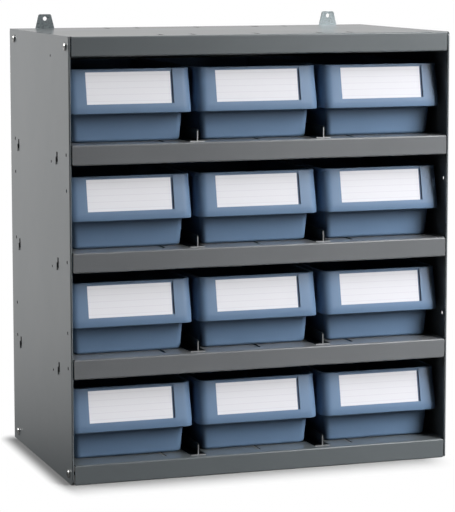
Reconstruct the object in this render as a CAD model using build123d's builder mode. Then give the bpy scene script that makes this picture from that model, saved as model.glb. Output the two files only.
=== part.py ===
from build123d import *
import os
from math import cos, radians, sin, sqrt, tan

# Bin shelving unit: a folded sheet-steel cabinet with pressed shelves, low divider rails and
# plastic bins that slide out forwards. Millimetres, +X right, +Y to the rear, +Z up.
# The origin is on the floor, in the middle of the whole unit.

# Layout of the unit
rows = 4
columns = 3
cabinet_width = 570.0  # over the side panels
cabinet_depth = 350.0  # from the front of the lips to the back of the side panels
shelf_pitch = 150.0  # from one shelf floor to the next
lip_height = 28.0  # turned-down edges of every shelf

# Sheet metal
sheet = 1.0  # thickness
bend_radius = 2.0  # outside of the folds
fit_gap = 0.25  # between sheets that pass each other at assembly
lip_return = 10.0  # lower edge of the front lip, folded in
lip_end_gap = 0.9  # from the ends of the lip to the hems of the sides
lip_corner = 1.6  # cut from the corners of the lip
notch_gap = 1.0  # from the wide part of a shelf to the hems

# Side panels
side_setback = 1.0  # front edge of the sides, behind the lips
hem_thickness = 3.2
hem_depth = 6.0
hem_inner_radius = 0.2
side_corner_radius = 6.0
rear_flange = 20.0
alternative_pitch = 200.0  # second set of shelf holes
fixing_hole = 5.4  # over the corners
fixing_front_inset = 17.0
fixing_rear_inset = 30.0
jig_hole = 4.0
jig_hole_inset = 101.0
jig_hole_drop = 30.0  # below the shelf floor

# Hooks of the loose shelves and their slots in the sides
hook_slot_height = 14.0
hook_slot_width = 6.5
hook_slot_drop = 13.5  # from the shelf floor to the top of the slot
hook_front_inset = 68.0
hook_rear_inset = 52.0
hook_neck = 7.0
hook_tooth = 4.0  # below the slot
hook_tooth_thickness = 1.2

# Divider rails and their slots in the shelf floors
divider_height = 17.0
divider_thickness = 1.6
divider_foot_width = 22.0
divider_foot_thickness = 1.0
divider_front_inset = 13.5
divider_rear_gap = 12.0
divider_nose = 2.0  # cut from the upper corners
divider_slot_length = 30.0
divider_slot_gap = 1.6  # each side of the rail's lug
divider_slot_inset = 21.0
divider_lug_length = 22.0
divider_lug_depth = 4.0  # below the floor
spare_columns = 4  # second set of divider slots

# Hanging brackets
bracket_thickness = 2.0
bracket_inset = 55.0  # from the outside of the cabinet to the middle of a bracket
bracket_width = 29.0
bracket_top_width = 19.0
bracket_rise = 21.0  # above the top panel
bracket_drop = 26.0  # below it, welded to the back panel
bracket_corner_radius = 3.0
bracket_hole = 6.4  # diameter
bracket_hole_rise = 14.4

# Fasteners, whose rounds are drawn with flats, as are the small holes
round_sides = 8
screw_diameter = 5.0
screw_head_diameter = 11.8
screw_head_height = 3.1
screw_head_bevel = 1.5
screw_tip = 1.5  # past the nut
nut_width = 8.0  # across the flats
nut_height = 4.0
thread_gap = 0.1

# Bins
bin_gap = 8.0  # between the hoods of two bins in a row
bin_setback = 20.0  # front of the hood, behind the lips
bin_rear_gap = 28.0
bin_headroom = 19.0  # from the rim to the lip above
bin_rest_gap = 0.2
bin_wall = 2.0
bin_floor = 2.4
bin_draft = 4.4  # degrees
bin_corner_radius = 10.5  # at the rim
bin_rim_overhang = 3.0
bin_rim_height = 6.0

# Hooded front of a bin
hood_wall = 3.2
hood_height = 62.0
hood_band = 8.6  # upright band along the lower edge
hood_slope = 12.3  # degrees from upright
hood_depth = 30.0
hood_corner_radius = 14.0
hood_side_draft = 1.1  # degrees
hood_roof = 3.0
pocket_depth = 1.8
pocket_margin = 5.0  # above the band
label_width = 123.0
label_height = 45.5
label_thickness = 0.5
label_left_gap = 0.3  # to the end of the pocket
label_right_gap = 3.2

# Places shared by several pieces
bracket_proud = bracket_thickness - sheet
front = -(cabinet_depth + bracket_proud) / 2
back = front + cabinet_depth
half_width = cabinet_width / 2
cabinet_height = rows * shelf_pitch + lip_height
floor_heights = [lip_height + shelf_pitch * level for level in range(rows + 1)]
loose_floor_heights = floor_heights[1:-1]
fixing_depths = (front + fixing_front_inset, back - fixing_rear_inset)
hook_depths = (front + hook_front_inset, back - hook_rear_inset)
tray_width = cabinet_width - 2 * (sheet + fit_gap)
tray_back = back - 2 * sheet
lip_width = cabinet_width - 2 * (hem_thickness + lip_end_gap)
bracket_centres = (bracket_inset - half_width, half_width - bracket_inset)
divider_places = [cabinet_width * (k / columns - 0.5) for k in range(1, columns)]
spare_places = [cabinet_width * (k / spare_columns - 0.5) for k in range(1, spare_columns)]
divider_slot_depths = (
    front + divider_slot_inset + divider_slot_length / 2,
    back - divider_slot_inset - divider_slot_length / 2,
)

os.makedirs("parts", exist_ok=True)


def save(part, name):
    part.label = name
    export_step(part, f"parts/{name}.step")


# Side panels: a plain wall with a hem along its front edge and a flange along its rear edge,
# pierced for the screws, for the hooks of the shelves and for a second shelf spacing.
hem_radius = sheet + hem_inner_radius
side_front = front + side_setback
hem_face = -half_width + hem_thickness
fixing_heights = [height - lip_height / 2 for height in floor_heights]
spare_levels = int(rows * shelf_pitch / alternative_pitch)
spare_heights = [lip_height / 2 + alternative_pitch * level for level in range(1, spare_levels)]
hook_slot_middle = hook_slot_drop + hook_slot_height / 2

with BuildPart() as left_side:
    with BuildSketch(Plane.XY):
        with BuildLine():
            FilletPolyline(
                (hem_face, side_front + hem_depth),
                (hem_face, side_front),
                (-half_width, side_front),
                (-half_width, back),
                (-half_width + rear_flange, back),
                radius=(hem_radius, hem_radius, bend_radius),
            )
            offset(amount=sheet, side=Side.RIGHT)
        make_face()
    extrude(amount=cabinet_height)
    with BuildSketch(Plane.YZ.offset(-half_width)) as outline:
        with Locations(((side_front + back) / 2, cabinet_height / 2)):
            Rectangle(back - side_front, cabinet_height)
        fillet(outline.vertices().group_by(Axis.X)[0], radius=side_corner_radius)
    extrude(amount=rear_flange, mode=Mode.INTERSECT)
    with BuildSketch(Plane.YZ.offset(-half_width)):
        with Locations(*[(y, z) for y in fixing_depths for z in fixing_heights + spare_heights]):
            RegularPolygon(fixing_hole / 2, round_sides)
        with Locations(*[(y, z - hook_slot_middle) for y in hook_depths for z in loose_floor_heights]):
            Rectangle(hook_slot_width, hook_slot_height)
        with Locations(*[(front + jig_hole_inset, z - jig_hole_drop) for z in floor_heights[1:]]):
            RegularPolygon(jig_hole / 2, round_sides)
    extrude(amount=sheet, mode=Mode.SUBTRACT)
save(left_side.part, "left_side")

with BuildPart() as right_side:
    add(mirror(left_side.part, about=Plane.YZ, mode=Mode.PRIVATE))
save(right_side.part, "right_side")


# Shelf pressing: a floor with four turned-down edges and notched corners. The front lip folds
# in again along its lower edge. The floor is slotted for the divider rails. A loose shelf has hooks,
# each a tab bent out of its end edge along the rear of a window.
# The folds at the front are rounded, and the hidden ones are drawn sharp.
def pressed_shelf(floor_height, hooked):
    skirt = floor_height - lip_height
    wide_front = side_front + hem_depth + notch_gap
    wide_back = back - bend_radius - notch_gap
    with BuildPart() as tray:
        with BuildSketch(Plane.YZ):
            with BuildLine():
                FilletPolyline(
                    (front + lip_return, skirt),
                    (front, skirt),
                    (front, floor_height),
                    (tray_back, floor_height),
                    radius=bend_radius,
                )
                Line((tray_back, floor_height), (tray_back, skirt))
                offset(amount=sheet, side=Side.RIGHT)
            make_face()
        extrude(amount=lip_width / 2, both=True)
        with BuildSketch(Plane.XZ.offset(-tray_back)) as lip_face:
            with Locations((0, floor_height - lip_height / 2)):
                Rectangle(lip_width, lip_height)
            chamfer(lip_face.vertices(), length=lip_corner)
        extrude(amount=tray_back - front, mode=Mode.INTERSECT)
        with BuildSketch(Plane.XZ.offset(-wide_back)):
            with BuildLine():
                Polyline(
                    (-tray_width / 2, skirt),
                    (-tray_width / 2, floor_height),
                    (tray_width / 2, floor_height),
                    (tray_width / 2, skirt),
                )
                offset(amount=sheet, side=Side.RIGHT)
            make_face()
        extrude(amount=wide_back - wide_front)
        with BuildSketch(Plane.XY.offset(floor_height)):
            with Locations(*[(x, y) for x in divider_places + spare_places for y in divider_slot_depths]):
                Rectangle(divider_thickness + 2 * divider_slot_gap, divider_slot_length)
        extrude(amount=-sheet, mode=Mode.SUBTRACT)
        if not hooked:
            with BuildSketch(Plane.YZ):
                with Locations(*[(y, floor_height - lip_height / 2) for y in fixing_depths]):
                    RegularPolygon(fixing_hole / 2, round_sides)
            extrude(amount=half_width, both=True, mode=Mode.SUBTRACT)
        else:
            seat = floor_height - hook_slot_drop - hook_slot_height
            root = tray_width / 2 - sheet
            face = half_width + fit_gap
            tip = face + hook_tooth_thickness
            window = hook_slot_width - fit_gap - sheet
            for depth in hook_depths:
                slot_front = depth - hook_slot_width / 2
                with BuildSketch(Plane.YZ):
                    with Locations((slot_front + window / 2, seat + hook_slot_height / 2)):
                        Rectangle(window, hook_slot_height)
                extrude(amount=half_width, both=True, mode=Mode.SUBTRACT)
                with BuildSketch(Plane.XZ.offset(-slot_front - window - sheet)):
                    with BuildLine():
                        Polyline(
                            (root, seat),
                            (face, seat),
                            (face, seat - hook_tooth),
                            (tip, seat - hook_tooth),
                            (tip, seat + hook_neck),
                            (root, seat + hook_neck),
                            close=True,
                        )
                    make_face()
                    mirror(about=Plane.YZ)
                extrude(amount=sheet)
    return tray.part


# Divider rail: an inverted T with lugs that drop through the slots of the shelf floor.
def divider_rail(across, floor_height):
    rail_front = front + divider_front_inset
    rail_back = tray_back - divider_rear_gap
    with BuildPart() as rail:
        with BuildSketch(Plane.YZ.offset(across)) as web:
            with Locations(((rail_front + rail_back) / 2, floor_height + divider_height / 2)):
                Rectangle(rail_back - rail_front, divider_height)
            chamfer(web.vertices().group_by(Axis.Y)[-1], length=divider_nose)
            with Locations(*[(y, floor_height - divider_lug_depth / 2) for y in divider_slot_depths]):
                Rectangle(divider_lug_length, divider_lug_depth)
        extrude(amount=divider_thickness / 2, both=True)
        with BuildSketch(Plane.XY.offset(floor_height)):
            with Locations((across, (rail_front + rail_back) / 2)):
                Rectangle(divider_foot_width, rail_back - rail_front)
        extrude(amount=divider_foot_thickness)
    return rail.part


# Shelves: the base and the top are screwed to the sides, the shelves between them hang on hooks.
save(pressed_shelf(floor_heights[0], hooked=False), "base_shelf")
for name, floor_height in zip(("lower_shelf", "middle_shelf", "upper_shelf"), loose_floor_heights):
    save(pressed_shelf(floor_height, hooked=True), name)

save(pressed_shelf(floor_heights[-1], hooked=False), "top_panel")

# Back panel: a flat sheet between the rear flanges of the sides and the rear edges of the shelves.
back_panel_width = cabinet_width - 2 * (bend_radius + fit_gap)

with BuildPart() as back_panel:
    with BuildSketch(Plane.XZ.offset(-tray_back - sheet)):
        with Locations((0, cabinet_height / 2)):
            Rectangle(back_panel_width, cabinet_height)
    extrude(amount=sheet)
save(back_panel.part, "back_panel")

# Corner screws and nuts: they hold the sides to the turned-down edges of the top and the base.
corner_heights = (fixing_heights[0], fixing_heights[-1])
corner_spots = [(y, z) for y in fixing_depths for z in corner_heights]
nut_seat = tray_width / 2 - sheet
screw_reach = half_width - nut_seat + nut_height + screw_tip

with BuildPart() as corner_screws:
    for side in (-1, 1):
        with BuildSketch(Plane.YZ.offset(side * half_width)):
            with Locations(*corner_spots):
                RegularPolygon(screw_head_diameter / 2, round_sides)
        extrude(amount=side * screw_head_height)
    crowns = corner_screws.edges().group_by(Axis.X)
    chamfer(crowns[0] + crowns[-1], length=screw_head_bevel)
    for side in (-1, 1):
        with BuildSketch(Plane.YZ.offset(side * half_width)):
            with Locations(*corner_spots):
                RegularPolygon(screw_diameter / 2, round_sides)
        extrude(amount=-side * screw_reach)
save(corner_screws.part, "corner_screws")

with BuildPart() as corner_nuts:
    for side in (-1, 1):
        with BuildSketch(Plane.YZ.offset(side * nut_seat)):
            with Locations(*corner_spots):
                RegularPolygon(nut_width / 2, 6, major_radius=False)
                RegularPolygon(screw_diameter / 2 + thread_gap, round_sides, mode=Mode.SUBTRACT)
        extrude(amount=-side * nut_height)
save(corner_nuts.part, "corner_nuts")

# Hanging brackets: flat plates on the back panel, with a hole above the top for a wall screw.
bracket_face = back - sheet + bracket_thickness

for name, centre in zip(("hanging_bracket_left", "hanging_bracket_right"), bracket_centres):
    with BuildPart() as bracket:
        with BuildSketch(Plane.XZ.offset(-bracket_face)) as plate:
            with BuildLine():
                Polyline(
                    (centre - bracket_width / 2, cabinet_height - bracket_drop),
                    (centre - bracket_width / 2, cabinet_height),
                    (centre - bracket_top_width / 2, cabinet_height + bracket_rise),
                    (centre + bracket_top_width / 2, cabinet_height + bracket_rise),
                    (centre + bracket_width / 2, cabinet_height),
                    (centre + bracket_width / 2, cabinet_height - bracket_drop),
                    close=True,
                )
            make_face()
            ends = plate.vertices().group_by(Axis.Y)
            fillet(ends[0] + ends[-1], radius=bracket_corner_radius)
            with Locations((centre, cabinet_height + bracket_hole_rise)):
                Circle(bracket_hole / 2, mode=Mode.SUBTRACT)
        extrude(amount=bracket_thickness)
    save(bracket.part, name)

# Hood of a bin: a skirt in front of the bin, upright along its lower band and sloped above it.
# It stands at the origin, with its front at Y 0 and the floor of the bin at Z 0.
bin_width = cabinet_width / columns - bin_gap
bin_length = cabinet_depth - 2 * sheet - bin_setback - bin_rear_gap
bin_height = shelf_pitch - lip_height - bin_headroom
hood_low = bin_height - hood_height
crease = hood_low + hood_band
slope = radians(hood_slope)
flat_for_round = 2 - sqrt(2)  # length of a chamfer that touches the arc in its place, for a radius of 1


def hood_block(inset, top, rear):
    bend = crease - inset * tan(slope / 2)
    with BuildPart() as block:
        with BuildSketch(Plane.YZ):
            with BuildLine():
                Polyline(
                    (inset, hood_low),
                    (inset, bend),
                    (inset + (top - bend) * tan(slope), top),
                    (rear, top),
                    (rear, hood_low),
                    close=True,
                )
            make_face()
        extrude(amount=bin_width / 2 - inset, both=True)
        draft(block.faces().filter_by(Axis.X), Plane.XY.offset(hood_low), hood_side_draft)
        ends = block.faces().sort_by(Axis.X)
        corners = ends[0].edges().sort_by(Axis.Y)[:2] + ends[-1].edges().sort_by(Axis.Y)[:2]
        if inset:
            chamfer(corners, length=flat_for_round * (hood_corner_radius - inset))
        else:
            fillet(corners, radius=hood_corner_radius)
    return block.part


with BuildPart() as hood:
    add(hood_block(0, bin_height, hood_depth))
    add(hood_block(hood_wall, bin_height - hood_roof, hood_depth + hood_wall), mode=Mode.SUBTRACT)

# Bin: a drafted open box with a rim, joined to its hood along the top.
rim_width = bin_width - 2 * hood_height * tan(radians(hood_side_draft))
body_front = (bin_height - crease) * tan(slope) + hood_wall
body_length = bin_length - bin_rim_overhang - body_front
body_width = rim_width - 2 * bin_rim_overhang
body_middle = body_front + body_length / 2


def drafted_box(inset, low):
    with BuildPart() as box:
        with BuildSketch(Plane.XY.offset(bin_height)):
            with Locations((0, body_middle)):
                Rectangle(body_width - 2 * inset, body_length - 2 * inset)
        extrude(amount=low - bin_height)
        draft(box.faces().filter_by(Axis.Z, reverse=True), Plane.XY.offset(bin_height), -bin_draft)
        corners = box.edges().group_by(Axis.Z)[1]
        if inset:
            chamfer(corners, length=flat_for_round * (bin_corner_radius - inset))
        else:
            fillet(corners, radius=bin_corner_radius)
    return box.part


slope_face = Plane(origin=(0, 0, crease), x_dir=(1, 0, 0), z_dir=(0, -cos(slope), sin(slope)))
slope_length = (bin_height - crease) / cos(slope)
pocket_width = label_left_gap + label_width + label_right_gap

with BuildPart() as bin_shape:
    add(drafted_box(0, 0))
    with BuildSketch(Plane.XY.offset(bin_height - bin_rim_height)) as rim:
        with Locations((0, (hood_depth + bin_length) / 2)):
            Rectangle(rim_width, bin_length - hood_depth)
        rim_corner = flat_for_round * (bin_corner_radius + bin_rim_overhang)
        chamfer(rim.vertices().group_by(Axis.Y)[-1], length=rim_corner)
    extrude(amount=bin_rim_height)
    add(hood.part)
    add(drafted_box(bin_wall, bin_floor), mode=Mode.SUBTRACT)
    with BuildSketch(slope_face):
        with Locations((0, pocket_margin + slope_length / 2)):
            Rectangle(pocket_width, slope_length)
    extrude(amount=-pocket_depth, mode=Mode.SUBTRACT)

# Label card: lies on the back of the pocket, on the pocket's lower edge.
with BuildPart() as label_shape:
    with BuildSketch(slope_face.offset(-pocket_depth)):
        with Locations(((label_left_gap - label_right_gap) / 2, pocket_margin + label_height / 2)):
            Rectangle(label_width, label_height)
    extrude(amount=label_thickness)

# Twelve bins with their labels, and the rails between them.
column_names = ("left", "middle", "right")
rail_names = ("left", "right")

for row, floor_height in enumerate(floor_heights[:-1], start=1):
    for column, name in enumerate(column_names):
        across = cabinet_width * ((column + 0.5) / columns - 0.5)
        place = Location((across, front + bin_setback, floor_height + bin_rest_gap))
        save(bin_shape.part.moved(place), f"bin_row{row}_{name}")
        save(label_shape.part.moved(place), f"label_row{row}_{name}")
    for across, name in zip(divider_places, rail_names):
        save(divider_rail(across, floor_height), f"divider_row{row}_{name}")
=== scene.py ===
from math import cos, pi, radians, sin, tan

import bmesh
import bpy
from mathutils import Matrix, Vector


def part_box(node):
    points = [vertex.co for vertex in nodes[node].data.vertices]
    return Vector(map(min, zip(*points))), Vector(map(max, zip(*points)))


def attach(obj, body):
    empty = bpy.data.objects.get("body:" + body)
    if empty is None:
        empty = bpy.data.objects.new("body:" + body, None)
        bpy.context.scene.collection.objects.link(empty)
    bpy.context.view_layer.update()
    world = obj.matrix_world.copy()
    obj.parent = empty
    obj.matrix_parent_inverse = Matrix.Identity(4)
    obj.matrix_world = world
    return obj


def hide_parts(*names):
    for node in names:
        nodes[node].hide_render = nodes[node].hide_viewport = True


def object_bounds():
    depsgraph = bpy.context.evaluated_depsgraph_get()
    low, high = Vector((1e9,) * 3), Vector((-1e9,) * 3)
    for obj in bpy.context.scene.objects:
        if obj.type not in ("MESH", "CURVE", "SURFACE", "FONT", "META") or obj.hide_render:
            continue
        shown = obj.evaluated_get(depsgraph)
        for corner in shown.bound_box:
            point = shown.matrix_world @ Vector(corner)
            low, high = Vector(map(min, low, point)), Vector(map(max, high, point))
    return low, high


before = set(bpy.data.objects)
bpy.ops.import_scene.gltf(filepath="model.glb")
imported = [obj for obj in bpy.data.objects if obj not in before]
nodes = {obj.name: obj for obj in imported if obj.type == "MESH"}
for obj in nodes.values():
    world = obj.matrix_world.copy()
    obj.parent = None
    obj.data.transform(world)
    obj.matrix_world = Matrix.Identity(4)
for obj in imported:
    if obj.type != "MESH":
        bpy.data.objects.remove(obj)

cad_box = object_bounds()


# Cabinet: side panels, pressed shelves, top, base and back, all of folded sheet steel.
# They are powder coated after folding in two close semi-gloss greys, with a faint orange peel, and the
# sheets hook or screw together. Cut faces in slots, holes and at the lip ends carry painted shade: their
# colour and gloss are dimmed for the shade that falls in them.
paint_colours = {
    "side_powder_coat": (0.112, 0.126, 0.133),
    "grey_powder_coat": (0.112, 0.126, 0.133),
    "shelf_powder_coat": (0.147, 0.154, 0.161),
}
paint_shift = 1.06
paint_roughness = (0.30, 0.36)
paint_gloss = 0.6
paint_gloss_roughness = 0.07
paint_cloud_scale = 7.0
paint_peel_scale = 650.0
paint_peel_detail = 1.0
paint_peel_depth = 0.000005
paint_edge_radius = 0.0011
paint_edge_samples = 6
cut_painted_shade = 0.94
cut_facing = 0.7
hole_zone_middle = {"Y": 0, "Z": 0.314}
hole_zone_reach = {"Y": 0.168, "Z": 0.300}
noise_low, noise_high = 0.25, 0.75


def new_finish(name, colour, roughness, metallic=0.0):
    material = bpy.data.materials.new(name)
    material.use_nodes = True
    tree = material.node_tree
    surface = tree.nodes["Principled BSDF"]
    surface.inputs["Base Color"].default_value = (*colour, 1)
    surface.inputs["Roughness"].default_value = roughness
    surface.inputs["Metallic"].default_value = metallic
    return material, tree, surface


def object_noise(tree, scale, detail=3.0):
    place = tree.nodes.new("ShaderNodeTexCoord")
    noise = tree.nodes.new("ShaderNodeTexNoise")
    noise.inputs["Scale"].default_value = scale
    noise.inputs["Detail"].default_value = detail
    tree.links.new(place.outputs["Object"], noise.inputs["Vector"])
    return noise.outputs["Fac"]


def vary_colour(tree, surface, amount, first, second):
    ramp = tree.nodes.new("ShaderNodeValToRGB")
    ramp.color_ramp.interpolation = "EASE"
    ramp.color_ramp.elements[0].position = noise_low
    ramp.color_ramp.elements[0].color = (*first, 1)
    ramp.color_ramp.elements[1].position = noise_high
    ramp.color_ramp.elements[1].color = (*second, 1)
    tree.links.new(amount, ramp.inputs["Fac"])
    tree.links.new(ramp.outputs["Color"], surface.inputs["Base Color"])


def vary_roughness(tree, surface, amount, low, high):
    spread = tree.nodes.new("ShaderNodeMapRange")
    spread.interpolation_type = "SMOOTHSTEP"
    spread.inputs["From Min"].default_value = noise_low
    spread.inputs["From Max"].default_value = noise_high
    spread.inputs["To Min"].default_value = low
    spread.inputs["To Max"].default_value = high
    tree.links.new(amount, spread.inputs["Value"])
    tree.links.new(spread.outputs["Result"], surface.inputs["Roughness"])


def add_bump(tree, surface, amount, depth):
    bump = tree.nodes.new("ShaderNodeBump")
    bump.inputs["Strength"].default_value = 1.0
    bump.inputs["Distance"].default_value = depth
    tree.links.new(amount, bump.inputs["Height"])
    tree.links.new(bump.outputs["Normal"], surface.inputs["Normal"])
    return bump


def facing_parts(tree):
    geometry = tree.nodes.new("ShaderNodeNewGeometry")
    facing = tree.nodes.new("ShaderNodeSeparateXYZ")
    tree.links.new(geometry.outputs["True Normal"], facing.inputs["Vector"])
    return facing.outputs


def math_node(tree, operation, *values):
    node = tree.nodes.new("ShaderNodeMath")
    node.operation = operation
    for socket, value in zip(node.inputs, values):
        if isinstance(value, (int, float)):
            socket.default_value = value
        else:
            tree.links.new(value, socket)
    return node.outputs["Value"]


def paint_shade_on_cuts(tree, surface, cut):
    # Painted shade: the colour, gloss and coat of the masked cut faces are dimmed for the shade in slots,
    # holes and joints.
    kept = math_node(tree, "SUBTRACT", 1, math_node(tree, "MULTIPLY", cut, cut_painted_shade))
    dimmed = tree.nodes.new("ShaderNodeVectorMath")
    dimmed.operation = "SCALE"
    tree.links.new(surface.inputs["Base Color"].links[0].from_socket, dimmed.inputs[0])
    tree.links.new(kept, dimmed.inputs["Scale"])
    tree.links.new(dimmed.outputs["Vector"], surface.inputs["Base Color"])
    for name in ("Specular IOR Level", "Coat Weight"):
        level = surface.inputs[name].default_value
        tree.links.new(math_node(tree, "MULTIPLY", kept, level), surface.inputs[name])


def dress(node, material):
    for slot in nodes[node].material_slots:
        slot.material = material


paints = {}
for name, colour in paint_colours.items():
    paints[name], tree, surface = new_finish(name, colour, paint_roughness[0])
    cloud = object_noise(tree, paint_cloud_scale)
    vary_colour(tree, surface, cloud, colour, [paint_shift * part for part in colour])
    vary_roughness(tree, surface, cloud, *paint_roughness)
    surface.inputs["Coat Weight"].default_value = paint_gloss
    surface.inputs["Coat Roughness"].default_value = paint_gloss_roughness
    skin = object_noise(tree, paint_peel_scale, paint_peel_detail)
    peel = add_bump(tree, surface, skin, paint_peel_depth)
    edges = tree.nodes.new("ShaderNodeBevel")
    edges.samples = paint_edge_samples
    edges.inputs["Radius"].default_value = paint_edge_radius
    tree.links.new(edges.outputs["Normal"], peel.inputs["Normal"])
    # Painted shade mask: cut faces turned sideways (lip ends, slot and window walls); on the side panels,
    # the walls of the holes and slots within the hole zone instead.
    turned_sideways = math_node(tree, "ABSOLUTE", facing_parts(tree)["X"])
    cut = math_node(tree, "GREATER_THAN", turned_sideways, cut_facing)
    if name == "side_powder_coat":
        cut = math_node(tree, "SUBTRACT", 1, cut)
        place = tree.nodes.new("ShaderNodeSeparateXYZ")
        geometry = tree.nodes.new("ShaderNodeNewGeometry")
        tree.links.new(geometry.outputs["Position"], place.inputs["Vector"])
        for axis, middle in hole_zone_middle.items():
            off = math_node(tree, "SUBTRACT", place.outputs[axis], middle)
            near = math_node(tree, "LESS_THAN", math_node(tree, "ABSOLUTE", off), hole_zone_reach[axis])
            cut = math_node(tree, "MULTIPLY", cut, near)
    paint_shade_on_cuts(tree, surface, cut)

for node in ("left_side", "right_side"):
    dress(node, paints["side_powder_coat"])
for node in ("back_panel", "base_shelf", "top_panel"):
    dress(node, paints["grey_powder_coat"])
for node in ("lower_shelf", "middle_shelf", "upper_shelf"):
    dress(node, paints["shelf_powder_coat"])


# Hanging brackets: two flat plates of zinc-plated steel behind the top, spot-welded to the back
# panel. Each stands up over the top and takes a wall screw.
zinc_colour = (0.150, 0.176, 0.184)
zinc_shift = (0.245, 0.275, 0.285)
zinc_roughness = (0.26, 0.40)
zinc_flower_scale = 420.0
zinc_flower_detail = 4.0

zinc, tree, surface = new_finish("zinc_plate", zinc_colour, zinc_roughness[0], metallic=1.0)
flower = object_noise(tree, zinc_flower_scale, zinc_flower_detail)
vary_colour(tree, surface, flower, zinc_colour, zinc_shift)
vary_roughness(tree, surface, flower, *zinc_roughness)

for node in ("hanging_bracket_left", "hanging_bracket_right"):
    dress(node, zinc)


# Divider rails: inverted-T sheet strips, dropped into slots in the shelf floors between the bins. Their
# sides are painted near-black, a painted shade for the deep shade between the bins, and their front-facing
# edges are painted light, a painted highlight.
rail_shade_colour = (0.020, 0.021, 0.023)
rail_shade_shift = (0.030, 0.031, 0.033)
rail_highlight_colour = (0.56, 0.57, 0.58)
rail_edge_facing = (-0.7, -0.95)
rail_roughness = (0.45, 0.58)

rail, tree, surface = new_finish("rail_painted_shade_and_highlight", rail_shade_colour, rail_roughness[0], metallic=1.0)
flower = object_noise(tree, zinc_flower_scale, zinc_flower_detail)
vary_colour(tree, surface, flower, rail_shade_colour, rail_shade_shift)
vary_roughness(tree, surface, flower, *rail_roughness)
# Painted highlight: faces turned to the front take the light edge colour.
front_edge = tree.nodes.new("ShaderNodeMapRange")
front_edge.inputs["From Min"].default_value = rail_edge_facing[0]
front_edge.inputs["From Max"].default_value = rail_edge_facing[1]
tree.links.new(facing_parts(tree)["Y"], front_edge.inputs["Value"])
edge_highlight = tree.nodes.new("ShaderNodeMix")
edge_highlight.data_type = "RGBA"
tree.links.new(front_edge.outputs["Result"], edge_highlight.inputs["Factor"])
tree.links.new(surface.inputs["Base Color"].links[0].from_socket, edge_highlight.inputs["A"])
edge_highlight.inputs["B"].default_value = (*rail_highlight_colour, 1)
tree.links.new(edge_highlight.outputs["Result"], surface.inputs["Base Color"])

for row in range(1, 5):
    for side in ("left", "right"):
        dress(f"divider_row{row}_{side}", rail)


# Corner screws and nuts: bright zinc domed heads with a cross recess, through the sides into
# hexagon nuts behind the turned-down edges of the top and the base.
bright_colour = (0.54, 0.54, 0.53)
bright_roughness = (0.12, 0.20)
head_radius = 0.0059
head_height = 0.0031
head_rim_share = 0.42
head_roundness = 0.6
head_step_degrees = 15
shank_radius = 0.0025
screw_tip = -0.0105
recess_length = 0.0050
recess_width = 0.0010
recess_depth = 0.0013
screw_steps = 32
screw_sharp_angle = radians(35)
twist_degrees, twist_along, twist_up = 31, 140, 90

bright, tree, surface = new_finish("bright_zinc", bright_colour, bright_roughness[0], metallic=1.0)
vary_roughness(tree, surface, object_noise(tree, zinc_flower_scale), *bright_roughness)
dress("corner_nuts", bright)


def add_object(name, mesh):
    piece = bpy.data.objects.new(name, mesh)
    bpy.context.scene.collection.objects.link(piece)
    return piece


def cut_away(piece, cutter):
    cut = piece.modifiers.new("cut", "BOOLEAN")
    cut.object = cutter
    cut.solver = "EXACT"
    cut.use_self = True
    bpy.context.view_layer.update()
    graph = bpy.context.evaluated_depsgraph_get()
    mesh = bpy.data.meshes.new_from_object(piece.evaluated_get(graph))
    bpy.data.objects.remove(piece)
    bpy.data.objects.remove(cutter)
    return mesh


def turned(bm, profile, steps):
    rings = []
    for radius, height in profile:
        if radius == 0:
            rings.append([bm.verts.new((0, 0, height))])
            continue
        turns = [2 * pi * k / steps for k in range(steps)]
        rings.append([bm.verts.new((radius * cos(a), radius * sin(a), height)) for a in turns])
    for near, far in zip(rings, rings[1:]):
        for k in range(steps):
            here, there = k, (k + 1) % steps
            if len(near) == 1:
                bm.faces.new((near[0], far[there], far[here]))
            elif len(far) == 1:
                bm.faces.new((near[here], near[there], far[0]))
            else:
                bm.faces.new((near[here], near[there], far[there], far[here]))


screws_low, screws_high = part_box("corner_screws")
head_bow = []
for a in range(0, 90, head_step_degrees):
    rise = head_rim_share + (1 - head_rim_share) * sin(radians(a))
    head_bow.append((head_radius * cos(radians(a)) ** head_roundness, head_height * rise))
shank = [(0, screw_tip), (shank_radius, screw_tip), (shank_radius, 0)]
bm = bmesh.new()
turned(bm, [*shank, (head_radius, 0), *head_bow, (0, head_height)], screw_steps)
head_mesh = bpy.data.meshes.new("screw_head")
bm.to_mesh(head_mesh)
bm.free()

recess_size = Matrix.Diagonal((recess_length, recess_width, 2 * recess_depth, 1))
recess_place = Matrix.Translation((0, 0, head_height))
bm = bmesh.new()
for turn in (0, pi / 2):
    bmesh.ops.create_cube(bm, size=1, matrix=recess_place @ Matrix.Rotation(turn, 4, "Z") @ recess_size)
cross_mesh = bpy.data.meshes.new("cross")
bm.to_mesh(cross_mesh)
bm.free()
cutter = add_object("cross", cross_mesh)
head_mesh = cut_away(add_object("screw_head", head_mesh), cutter)

bm = bmesh.new()
for side_node, outward in (("left_side", -1), ("right_side", 1)):
    panel_low, panel_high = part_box(side_node)
    face = panel_low.x if outward < 0 else panel_high.x
    for across in (screws_low.y + head_radius, screws_high.y - head_radius):
        for height in (screws_low.z + head_radius, screws_high.z - head_radius):
            place = Matrix.Translation((face, across, height))
            turn = radians(twist_degrees + twist_along * across + twist_up * height)
            twist = Matrix.Rotation(turn, 4, "Z")
            one = head_mesh.copy()
            one.transform(place @ Matrix.Rotation(outward * pi / 2, 4, "Y") @ twist)
            bm.from_mesh(one)
            bpy.data.meshes.remove(one)
screw_mesh = bpy.data.meshes.new("corner_screw_heads")
bm.to_mesh(screw_mesh)
bm.free()
screw_mesh.materials.append(bright)
screw_mesh.shade_smooth()
screw_mesh.set_sharp_from_angle(angle=screw_sharp_angle)
screws = add_object("corner_screw_heads", screw_mesh)
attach(screws, "cabinet")
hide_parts("corner_screws")


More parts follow.
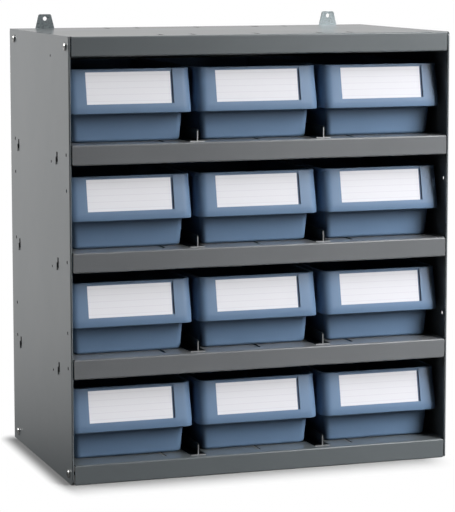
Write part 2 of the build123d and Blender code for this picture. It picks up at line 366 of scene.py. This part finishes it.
# Bins: blue-grey moulded boxes with drafted walls, a rim and a rounded bottom. A hood hangs from
# the rim in front: upright along its lower band, sloped above it, with a pocket for the label.
plastic_colour = (0.121, 0.197, 0.314)
plastic_shift = (0.128, 0.206, 0.325)
plastic_roughness = (0.48, 0.56)
plastic_flow_scale = 18.0
plastic_grain_scale = 1400.0
plastic_grain_detail = 2.0
plastic_grain_depth = 0.00004
seat_shade_colour = (0.066, 0.100, 0.172)
seat_shade_shift = 1.12
seat_roughness = 0.7
seat_flow_scale = 60.0
seat_grain_depth = 0.00012
bin_low, bin_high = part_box("bin_row1_left")
bin_width = bin_high.x - bin_low.x
bin_length = bin_high.y - bin_low.y
bin_height = bin_high.z - bin_low.z
wall = 0.002
floor = 0.0024
draft = radians(4.4)
corner_radius = 0.0085
bottom_radius = 0.0045
rim_overhang = 0.003
rim_height = 0.006
edge_radius = 0.0008
hood_wall = 0.0032
hood_height = 0.062
hood_band = 0.0086
hood_low = bin_height - hood_height
crease = hood_low + hood_band
crease_softness = 0.0015
hood_slope = radians(12.3)
hood_side_draft = radians(1.1)
hood_depth = 0.030
hood_corner_radius = 0.014
hood_edge_radius = 0.0011
hood_sink = 0.0002
hood_top = bin_height - hood_sink
pocket_half = 0.06325
pocket_margin = 0.005
pocket_depth = 0.0018
corner_steps = 9
round_steps = 5
bin_sharp_angle = radians(28)

plastic, tree, surface = new_finish("blue_grey_plastic", plastic_colour, plastic_roughness[0])
flow = object_noise(tree, plastic_flow_scale)
vary_colour(tree, surface, flow, plastic_colour, plastic_shift)
vary_roughness(tree, surface, flow, *plastic_roughness)
add_bump(tree, surface, object_noise(tree, plastic_grain_scale, plastic_grain_detail), plastic_grain_depth)

# The sunk back of the label pocket takes a darker blue: painted shade for the shade that lies in the
# pocket above the label.
seat_shade, tree, surface = new_finish("label_seat_painted_shade", seat_shade_colour, seat_roughness)
flow = object_noise(tree, seat_flow_scale)
vary_colour(tree, surface, flow, seat_shade_colour, [seat_shade_shift * part for part in seat_shade_colour])
add_bump(tree, surface, object_noise(tree, plastic_grain_scale, plastic_grain_detail), seat_grain_depth)


def lean_back(height):
    return max(0.0, height - crease) * tan(hood_slope)


def hood_half(height):
    return bin_width / 2 - (height - hood_low) * tan(hood_side_draft)


rim_half = hood_half(bin_height)
body_half = rim_half - rim_overhang
body_front = lean_back(bin_height) + hood_wall
body_rear = bin_length - rim_overhang


def box_ring(bm, height, inset, radius):
    half = body_half - inset
    near = body_front + inset
    far = body_rear - inset
    centres = (
        (half - radius, near + radius, -pi / 2),
        (half - radius, far - radius, 0),
        (radius - half, far - radius, pi / 2),
        (radius - half, near + radius, pi),
    )
    ring = []
    for x, y, start in centres:
        for k in range(corner_steps + 1):
            a = start + pi / 2 * k / corner_steps
            ring.append(bm.verts.new((x + radius * cos(a), y + radius * sin(a), height)))
    return ring


def drawn_in(height):
    return (bin_height - height) * tan(draft)


def join_rings(bm, rings, closed=True):
    count = len(rings[0])
    for near, far in zip(rings, rings[1:]):
        for k in range(count if closed else count - 1):
            here, there = k, (k + 1) % count
            bm.faces.new((near[here], near[there], far[there], far[here]))


bm = bmesh.new()
rings = []
quarter = [pi / 2 * k / round_steps for k in range(round_steps + 1)]
for a in quarter:
    height = bottom_radius * (1 - cos(a))
    cut = bottom_radius * (1 - sin(a))
    rings.append(box_ring(bm, height, drawn_in(height) + cut, corner_radius - cut))
under_rim = bin_height - rim_height
rings.append(box_ring(bm, under_rim, drawn_in(under_rim), corner_radius))
for a in quarter:
    cut = edge_radius * (1 - sin(a))
    height = under_rim + edge_radius * (1 - cos(a))
    rings.append(box_ring(bm, height, cut - rim_overhang, corner_radius + rim_overhang - cut))
for a in quarter:
    cut = edge_radius * (1 - cos(a))
    height = bin_height - edge_radius * (1 - sin(a))
    rings.append(box_ring(bm, height, cut - rim_overhang, corner_radius + rim_overhang - cut))
for a in quarter:
    cut = edge_radius * (1 - sin(a))
    height = bin_height - edge_radius * (1 - cos(a))
    rings.append(box_ring(bm, height, wall - cut, corner_radius - wall + cut))
inner_radius = bottom_radius - wall
for a in quarter:
    height = floor + inner_radius * (1 - sin(a))
    cut = inner_radius * (1 - cos(a))
    rings.append(box_ring(bm, height, wall + drawn_in(height) + cut, corner_radius - wall - cut))
join_rings(bm, rings)
bm.faces.new(list(reversed(rings[0])))
bm.faces.new(rings[-1])


def hood_ring(bm, height, inset):
    half = hood_half(height) - inset
    near = lean_back(height) + inset
    radius = hood_corner_radius - inset
    ring = [(-half, hood_depth)]
    for k in range(corner_steps + 1):
        a = pi + pi / 2 * k / corner_steps
        ring.append((radius - half + radius * cos(a), near + radius + radius * sin(a)))
    ring += [(-pocket_half, near), (pocket_half, near)]
    for k in range(corner_steps + 1):
        a = -pi / 2 + pi / 2 * k / corner_steps
        ring.append((half - radius + radius * cos(a), near + radius + radius * sin(a)))
    ring.append((half, hood_depth))
    return [bm.verts.new((x, y, height)) for x, y in ring]


pocket_low = crease + pocket_margin * cos(hood_slope)
outside = [
    (hood_low + hood_edge_radius * (1 - cos(a)), hood_edge_radius * (1 - sin(a))) for a in quarter
]
outside += [(crease - crease_softness, 0), (crease + crease_softness, 0), (pocket_low, 0)]
outside += [
    (hood_top - hood_edge_radius * (1 - sin(a)), hood_edge_radius * (1 - cos(a))) for a in quarter
]
inside = [(hood_top, hood_wall), (crease, hood_wall)]
inside += [
    (hood_low + hood_edge_radius * (1 - sin(a)), hood_wall - hood_edge_radius * (1 - cos(a)))
    for a in quarter
]
hood_rings = [hood_ring(bm, height, inset) for height, inset in outside + inside]
hood_rings.append(hood_rings[0])
join_rings(bm, hood_rings, closed=False)
bm.faces.new([ring[0] for ring in hood_rings[:-1]])
bm.faces.new([ring[-1] for ring in reversed(hood_rings[:-1])])

slope_in = Vector((0, cos(hood_slope), -sin(hood_slope)))
first = outside.index((pocket_low, 0))
pocket_rows = hood_rings[first:len(outside)]
pocket_column = corner_steps + 2
pocket_faces = []
for low, high in zip(pocket_rows, pocket_rows[1:]):
    corners = {low[pocket_column], low[pocket_column + 1], high[pocket_column], high[pocket_column + 1]}
    pocket_faces += [face for face in low[pocket_column].link_faces if set(face.verts) == corners]
sunk = bmesh.ops.extrude_face_region(bm, geom=pocket_faces)["geom"]
sunk_verts = [part for part in sunk if isinstance(part, bmesh.types.BMVert)]
bmesh.ops.translate(bm, verts=sunk_verts, vec=slope_in * pocket_depth)
# The sunk pocket faces take the second slot, the painted shade of the label seat.
for part in sunk:
    if isinstance(part, bmesh.types.BMFace):
        part.material_index = 1
bmesh.ops.delete(bm, geom=[face for face in pocket_faces if face.is_valid], context="FACES")
bmesh.ops.recalc_face_normals(bm, faces=bm.faces)

bin_mesh = bpy.data.meshes.new("bin")
bm.to_mesh(bin_mesh)
bm.free()
bin_mesh.materials.append(plastic)
bin_mesh.materials.append(seat_shade)
bin_mesh.shade_smooth()
bin_mesh.set_sharp_from_angle(angle=bin_sharp_angle)

columns = ("left", "middle", "right")
for row in range(1, 5):
    for column in columns:
        node = f"bin_row{row}_{column}"
        low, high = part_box(node)
        piece = add_object(f"hooded_{node}", bin_mesh)
        piece.location = ((low.x + high.x) / 2, low.y, low.z)
        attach(piece, node)
        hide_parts(node)


# Labels: white cards with five faint ruled lines, dropped into the pockets from above. Each one
# rests on the lower edge of its pocket.
card_colour = (0.42, 0.42, 0.46)
card_painted_glow = 0.32
card_roughness = 0.62
card_grain_scale = 900.0
card_grain_depth = 0.00002
rule_colour = (0.345, 0.335, 0.39)
rule_pitch = 0.0091
rule_width = 0.00045
rule_count = 5
card_thickness = 0.0005
card_lean = 0.0009
card_columns = 12
card_rows = 6

card, tree, surface = new_finish("white_card", card_colour, card_roughness)
# The cards glow a little of their own: painted light that keeps them white in the shade and evens out how
# the key light falls across them.
surface.inputs["Emission Color"].default_value = (1, 1, 1, 1)
surface.inputs["Emission Strength"].default_value = card_painted_glow
along = tree.nodes.new("ShaderNodeUVMap")
parts = tree.nodes.new("ShaderNodeSeparateXYZ")
tree.links.new(along.outputs["UV"], parts.inputs["Vector"])
ruled = tree.nodes.new("ShaderNodeMapRange")
ruled.inputs["From Min"].default_value = rule_width / 2
ruled.inputs["From Max"].default_value = rule_width
off_rule = math_node(tree, "PINGPONG", parts.outputs["Y"], rule_pitch / 2)
tree.links.new(off_rule, ruled.inputs["Value"])
tint = tree.nodes.new("ShaderNodeMix")
tint.data_type = "RGBA"
tint.inputs["A"].default_value = (*rule_colour, 1)
tint.inputs["B"].default_value = (*card_colour, 1)
tree.links.new(ruled.outputs["Result"], tint.inputs["Factor"])
tree.links.new(tint.outputs["Result"], surface.inputs["Base Color"])
add_bump(tree, surface, object_noise(tree, card_grain_scale), card_grain_depth)

label_low, label_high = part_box("label_row1_left")
label_width = label_high.x - label_low.x
label_rise = label_high.z - label_low.z - card_thickness * sin(hood_slope)
label_height = label_rise / cos(hood_slope)
slope_up = Vector((0, sin(hood_slope), cos(hood_slope)))

bm = bmesh.new()
ruling = bm.loops.layers.uv.new("UVMap")
sheets = []
for depth in (0.0, card_thickness):
    grid = []
    for r in range(card_rows + 1):
        line = []
        for c in range(card_columns + 1):
            u = c / card_columns
            v = r / card_rows
            bow = card_lean * v * v
            spot = Vector(((u - 0.5) * label_width, 0, 0)) + slope_up * (v * label_height)
            line.append(bm.verts.new(spot - slope_in * (depth + bow)))
        grid.append(line)
    sheets.append(grid)
back_sheet, front_sheet = sheets
for r in range(card_rows):
    for c in range(card_columns):
        for sheet, way in ((front_sheet, 1), (back_sheet, -1)):
            corners = (sheet[r][c], sheet[r][c + 1], sheet[r + 1][c + 1], sheet[r + 1][c])
            bm.faces.new(corners[::way])
border = [(0, c) for c in range(card_columns)]
border += [(r, card_columns) for r in range(card_rows)]
border += [(card_rows, c) for c in range(card_columns, 0, -1)]
border += [(r, 0) for r in range(card_rows, 0, -1)]
for (r0, c0), (r1, c1) in zip(border, border[1:] + border[:1]):
    bm.faces.new((back_sheet[r0][c0], back_sheet[r1][c1], front_sheet[r1][c1], front_sheet[r0][c0]))
first_rule = (label_height - (rule_count - 1) * rule_pitch) / 2
for face in bm.faces:
    for loop in face.loops:
        up = loop.vert.co.dot(slope_up)
        loop[ruling].uv = (loop.vert.co.x, up - first_rule)
bmesh.ops.recalc_face_normals(bm, faces=bm.faces)
card_mesh = bpy.data.meshes.new("label_card")
bm.to_mesh(card_mesh)
bm.free()
card_mesh.materials.append(card)

for row in range(1, 5):
    for column in columns:
        node = f"label_row{row}_{column}"
        low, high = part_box(node)
        piece = add_object(f"ruled_{node}", card_mesh)
        back_edge = high.y - label_height * sin(hood_slope)
        piece.location = ((low.x + high.x) / 2, back_edge, low.z)
        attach(piece, f"bin_row{row}_{column}")
        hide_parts(node)


# Studio: a pale floor that turns white away from the unit; near the base it keeps the real shadow and also
# carries a painted shadow, darkest at the base. The surround is dim as a light but white to look at. The
# key light stands in front on the right, one beside it makes only the highlights, and weaker ones stand
# above, on the left and low behind.
floor_colour = (0.10, 0.10, 0.10)
floor_seen_colour = (0.92, 0.92, 0.92)
floor_lift = 0.28
floor_roughness = 0.9
floor_radius = 60.0
floor_sides = 96
floor_shadow_reach = {"left": 0.027, "right": 0.058, "front": 0.10, "rear": 0.05}
floor_shadow_inset = {"left": 0.0, "right": 0.05, "front": 0.018, "rear": 0.03}
floor_painted_shadow = 0.27
floor_mirrored_start = 0.14
floor_mirrored_half = 0.6
floor_mirrored_turn = 0.3
floor_mirrored_back = 0.68
surround_light = 0.05
surround_mirrored_turn = 0.3
surround_mirrored_front = 0.04
surround_mirrored_back = 0.56
unit_middle = (0, 0, 0.32)
key_place, key_size, key_power = (1.558, -1.642, 1.413), (1.0, 1.9), 23.5
key_aim, key_spread = (0.568, -0.145, 0.133), radians(75)
glint_place, glint_size, glint_power = (1.3, -2.3, 1.27), (0.8, 0.7), 26.0
top_place, top_size, top_power = (0.2, -0.3, 2.5), (2.2, 1.2), 16.0
left_place, left_size, left_power = (-2.2, 0.9, 1.3), (1.0, 1.0), 42.0
rear_place, rear_size, rear_power = (0.9, 2.6, 0.38), (1.6, 0.44), 26.0

bm = bmesh.new()
bmesh.ops.create_circle(bm, cap_ends=True, radius=floor_radius, segments=floor_sides)
ground_mesh = bpy.data.meshes.new("ground")
bm.to_mesh(ground_mesh)
bm.free()
ground, tree, surface = new_finish("pale_ground", floor_colour, floor_roughness)
surface.inputs["Specular IOR Level"].default_value = 0.0
rays = tree.nodes.new("ShaderNodeLightPath")
spot = tree.nodes.new("ShaderNodeTexCoord").outputs["Object"]
spot_parts = tree.nodes.new("ShaderNodeSeparateXYZ")
tree.links.new(spot, spot_parts.inputs["Vector"])
from_middle = tree.nodes.new("ShaderNodeVectorMath")
from_middle.operation = "LENGTH"
tree.links.new(spot, from_middle.inputs[0])


def ramp_up(amount, start, end, low, high):
    ramp = tree.nodes.new("ShaderNodeMapRange")
    ramp.interpolation_type = "SMOOTHSTEP"
    ramp.inputs["From Min"].default_value = start
    ramp.inputs["From Max"].default_value = end
    ramp.inputs["To Min"].default_value = low
    ramp.inputs["To Max"].default_value = high
    tree.links.new(amount, ramp.inputs["Value"])
    return ramp.outputs["Result"]


def beyond(axis, low_edge, low_reach, high_edge, high_reach):
    place = spot_parts.outputs[axis]
    low = math_node(tree, "DIVIDE", math_node(tree, "SUBTRACT", low_edge, place), low_reach)
    high = math_node(tree, "DIVIDE", math_node(tree, "SUBTRACT", place, high_edge), high_reach)
    past = math_node(tree, "MAXIMUM", math_node(tree, "MAXIMUM", low, high), 0)
    return math_node(tree, "POWER", past, 2)


reach, inset = floor_shadow_reach, floor_shadow_inset
sideways = beyond(
    "X", cad_box[0].x + inset["left"], reach["left"], cad_box[1].x - inset["right"], reach["right"]
)
endways = beyond(
    "Y", cad_box[0].y + inset["front"], reach["front"], cad_box[1].y - inset["rear"], reach["rear"]
)
from_base = math_node(tree, "SQRT", math_node(tree, "ADD", sideways, endways))
away = math_node(tree, "SUBTRACT", from_middle.outputs["Value"], floor_mirrored_start)
away = math_node(tree, "MAXIMUM", away, 0)
mirrored = math_node(tree, "DIVIDE", away, math_node(tree, "ADD", away, floor_mirrored_half))
behind = ramp_up(
    spot_parts.outputs["Y"],
    -floor_mirrored_turn,
    floor_mirrored_turn,
    surround_mirrored_front,
    floor_mirrored_back,
)
shade = tree.nodes.new("ShaderNodeMix")
shade.data_type = "RGBA"
shade.inputs["A"].default_value = (*floor_colour, 1)
shade.inputs["B"].default_value = (*floor_seen_colour, 1)
tree.links.new(rays.outputs["Is Camera Ray"], shade.inputs["Factor"])
tree.links.new(shade.outputs["Result"], surface.inputs["Base Color"])
surface.inputs["Emission Color"].default_value = (1, 1, 1, 1)
lift = math_node(tree, "MULTIPLY", rays.outputs["Is Camera Ray"], floor_lift)
tree.links.new(lift, surface.inputs["Emission Strength"])
clear = ramp_up(from_base, 0, 1, 0, 1)
white_seen = math_node(tree, "MULTIPLY", clear, rays.outputs["Is Camera Ray"])
mirrored = math_node(tree, "MULTIPLY", mirrored, behind)
white_mirrored = math_node(tree, "MULTIPLY", mirrored, rays.outputs["Is Glossy Ray"])
glow = tree.nodes.new("ShaderNodeEmission")
blend = tree.nodes.new("ShaderNodeMixShader")
tree.links.new(math_node(tree, "MAXIMUM", white_seen, white_mirrored), blend.inputs["Fac"])
tree.links.new(surface.outputs["BSDF"], blend.inputs[1])
tree.links.new(glow.outputs["Emission"], blend.inputs[2])
# Painted shadow: for camera rays the floor is darkened near the base, most at its edge, and the darkening
# fades out with distance from it.
painted_shadow_fade = ramp_up(from_base, 0, 1, floor_painted_shadow, 1)
not_seen = math_node(tree, "SUBTRACT", 1, rays.outputs["Is Camera Ray"])
dark = tree.nodes.new("ShaderNodeEmission")
dark.inputs["Strength"].default_value = 0
shaded = tree.nodes.new("ShaderNodeMixShader")
tree.links.new(math_node(tree, "MAXIMUM", painted_shadow_fade, not_seen), shaded.inputs["Fac"])
tree.links.new(dark.outputs["Emission"], shaded.inputs[1])
tree.links.new(blend.outputs["Shader"], shaded.inputs[2])
tree.links.new(shaded.outputs["Shader"], tree.nodes["Material Output"].inputs["Surface"])
ground_mesh.materials.append(ground)
ground_piece = add_object("ground", ground_mesh)

world = bpy.data.worlds.new("surround")
world.use_nodes = True
bpy.context.scene.world = world
tree = world.node_tree
sky = tree.nodes["Background"]
sky.inputs["Color"].default_value = (1, 1, 1, 1)
rays = tree.nodes.new("ShaderNodeLightPath")
heading = tree.nodes.new("ShaderNodeTexCoord")
parts = tree.nodes.new("ShaderNodeSeparateXYZ")
tree.links.new(heading.outputs["Generated"], parts.inputs["Vector"])
mirrored = tree.nodes.new("ShaderNodeMapRange")
mirrored.inputs["From Min"].default_value = -surround_mirrored_turn
mirrored.inputs["From Max"].default_value = surround_mirrored_turn
mirrored.inputs["To Min"].default_value = surround_mirrored_front
mirrored.inputs["To Max"].default_value = surround_mirrored_back
tree.links.new(parts.outputs["Y"], mirrored.inputs["Value"])
mirrored = math_node(tree, "MULTIPLY", mirrored.outputs["Result"], rays.outputs["Is Glossy Ray"])
seen = math_node(tree, "MAXIMUM", rays.outputs["Is Camera Ray"], mirrored)
level = math_node(tree, "MAXIMUM", seen, surround_light)
tree.links.new(level, sky.inputs["Strength"])


def soft_light(name, place, size, power, target, spread=pi):
    lamp = bpy.data.lights.new(name, "AREA")
    lamp.shape = "RECTANGLE"
    lamp.size, lamp.size_y = size
    lamp.energy = power
    lamp.spread = spread
    stand = bpy.data.objects.new(name, lamp)
    stand.location = place
    stand.rotation_euler = (Vector(target) - Vector(place)).to_track_quat("-Z", "Y").to_euler()
    bpy.context.scene.collection.objects.link(stand)
    return stand


key = soft_light("key", key_place, key_size, key_power, key_aim, key_spread)
key.visible_glossy = False
glint = soft_light("glint", glint_place, glint_size, glint_power, unit_middle)
glint.visible_diffuse = False
soft_light("overhead", top_place, top_size, top_power, unit_middle)
soft_light("left", left_place, left_size, left_power, unit_middle)
soft_light("rear", rear_place, rear_size, rear_power, unit_middle)


# Camera: stands well back on the left, a little above the unit, and looks down at it slightly,
# with the frame slid down a little so that the upright edges stay nearly parallel.
image_long_side = 512
sensor_width = 36.0
focal_pixels = 2300.0
axis_above_middle = 31.0
camera_place = Vector((-1.0848, -3.2368, 0.7478))
camera_yaw = radians(18.589)
camera_down = radians(6.856)
camera_roll = radians(-0.072)

lens = bpy.data.cameras.new("camera")
lens.sensor_width = sensor_width
lens.lens = focal_pixels / image_long_side * sensor_width
lens.shift_y = -axis_above_middle / image_long_side
camera = bpy.data.objects.new("camera", lens)
turn = Matrix.Rotation(-camera_yaw, 4, "Z") @ Matrix.Rotation(pi / 2 - camera_down, 4, "X")
camera.matrix_world = Matrix.Translation(camera_place) @ turn @ Matrix.Rotation(camera_roll, 4, "Z")
bpy.context.scene.collection.objects.link(camera)
bpy.context.scene.camera = camera
bpy.context.scene.view_settings.view_transform = "Standard"


bpy.context.view_layer.update()
